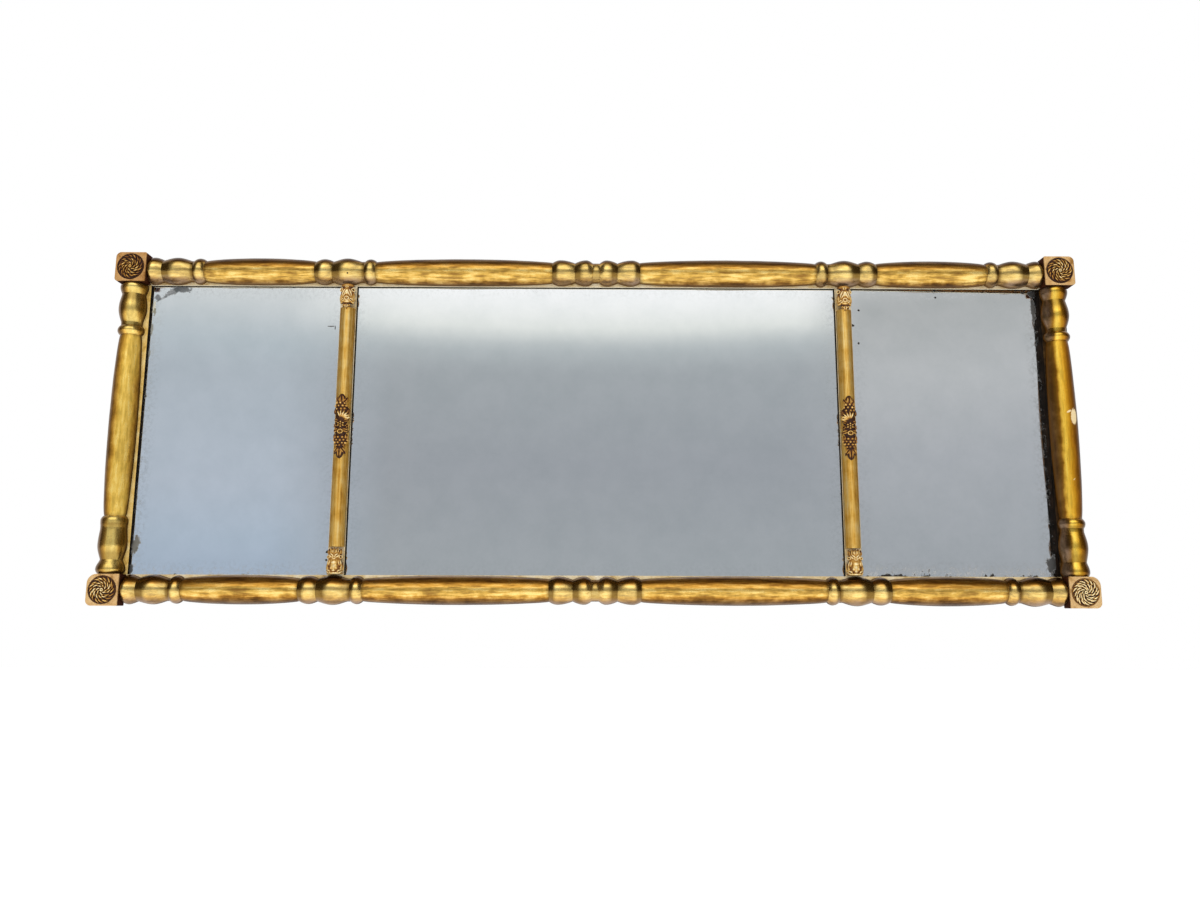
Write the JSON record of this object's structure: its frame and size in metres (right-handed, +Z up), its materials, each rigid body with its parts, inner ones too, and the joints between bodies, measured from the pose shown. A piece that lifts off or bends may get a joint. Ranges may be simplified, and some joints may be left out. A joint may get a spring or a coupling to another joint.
{
  "type": "overmantel mirror",
  "caption": "Wide three-part overmantel mirror: gilded half-round turned columns on a flat frame, corner blocks with rosettes, and slim colonnettes between old mirror plates.",
  "frame": {"origin": "middle of the frame's back, on the centre backboard's rear face", "axes": "+X to the viewer's right along the mirror's width, -Y out of the front, +Z up"},
  "size_m": [1.544, 0.0536, 0.562],
  "materials": {
    "frame_pine": "old pine, gilded on its front face and edges, bare at the back",
    "burnished_gilding": "water gilding over gesso and bole, burnished and rubbed",
    "matte_gilding": "matte gilding, worn and pale",
    "gilt_composition": "cast composition ornament, gilded, dark in its recesses",
    "colonnette_gilding": "water gilding, warm",
    "mirror_plate": "old silvered glass with specks at its edges",
    "deal": "bare deal, aged brown",
    "iron": "dark wrought iron",
    "brass": "aged brass"
  },
  "bodies": {
    "mirror": {"top_rail": "frame_pine", "bottom_rail": "frame_pine", "left_stile": "frame_pine", "right_stile": "frame_pine", "left_muntin": "frame_pine", "right_muntin": "frame_pine", "top_column": "burnished_gilding", "bottom_column": "burnished_gilding", "left_column": "burnished_gilding", "right_column": "burnished_gilding", "corner_block_top_left": "matte_gilding", "corner_block_top_right": "matte_gilding", "corner_block_bottom_left": "matte_gilding", "corner_block_bottom_right": "matte_gilding", "rosette_top_left": "gilt_composition", "rosette_top_right": "gilt_composition", "rosette_bottom_left": "gilt_composition", "rosette_bottom_right": "gilt_composition", "left_colonnette": "colonnette_gilding", "right_colonnette": "colonnette_gilding", "upper_capital_left": "gilt_composition", "upper_capital_right": "gilt_composition", "lower_capital_left": "gilt_composition", "lower_capital_right": "gilt_composition", "grape_ornament_left": "gilt_composition", "grape_ornament_right": "gilt_composition", "left_plate": "mirror_plate", "centre_plate": "mirror_plate", "right_plate": "mirror_plate", "right_plate_slip": "deal", "left_glue_blocks": "deal", "centre_glue_blocks": "deal", "right_glue_blocks": "deal", "left_backboard": "deal", "centre_backboard": "deal", "right_backboard": "deal", "backboard_nails": "iron", "block_screws": "iron", "left_hanger_strap": "brass", "right_hanger_strap": "brass", "hanger_screws": "brass"},
    "left_ring": {"left_hanger_ring": "brass"},
    "right_ring": {"right_hanger_ring": "brass"}
  },
  "joints": [
    {"name": "left_ring_swing", "type": "hinge", "parent": "mirror", "child": "left_ring", "pos_m": [-0.75, 0.00306, 0.15], "axis": [1, 0, 0], "range_deg": [0, 180]},
    {"name": "right_ring_swing", "type": "hinge", "parent": "mirror", "child": "right_ring", "pos_m": [0.75, 0.00306, 0.15], "axis": [1, 0, 0], "range_deg": [0, 180]}
  ]
}
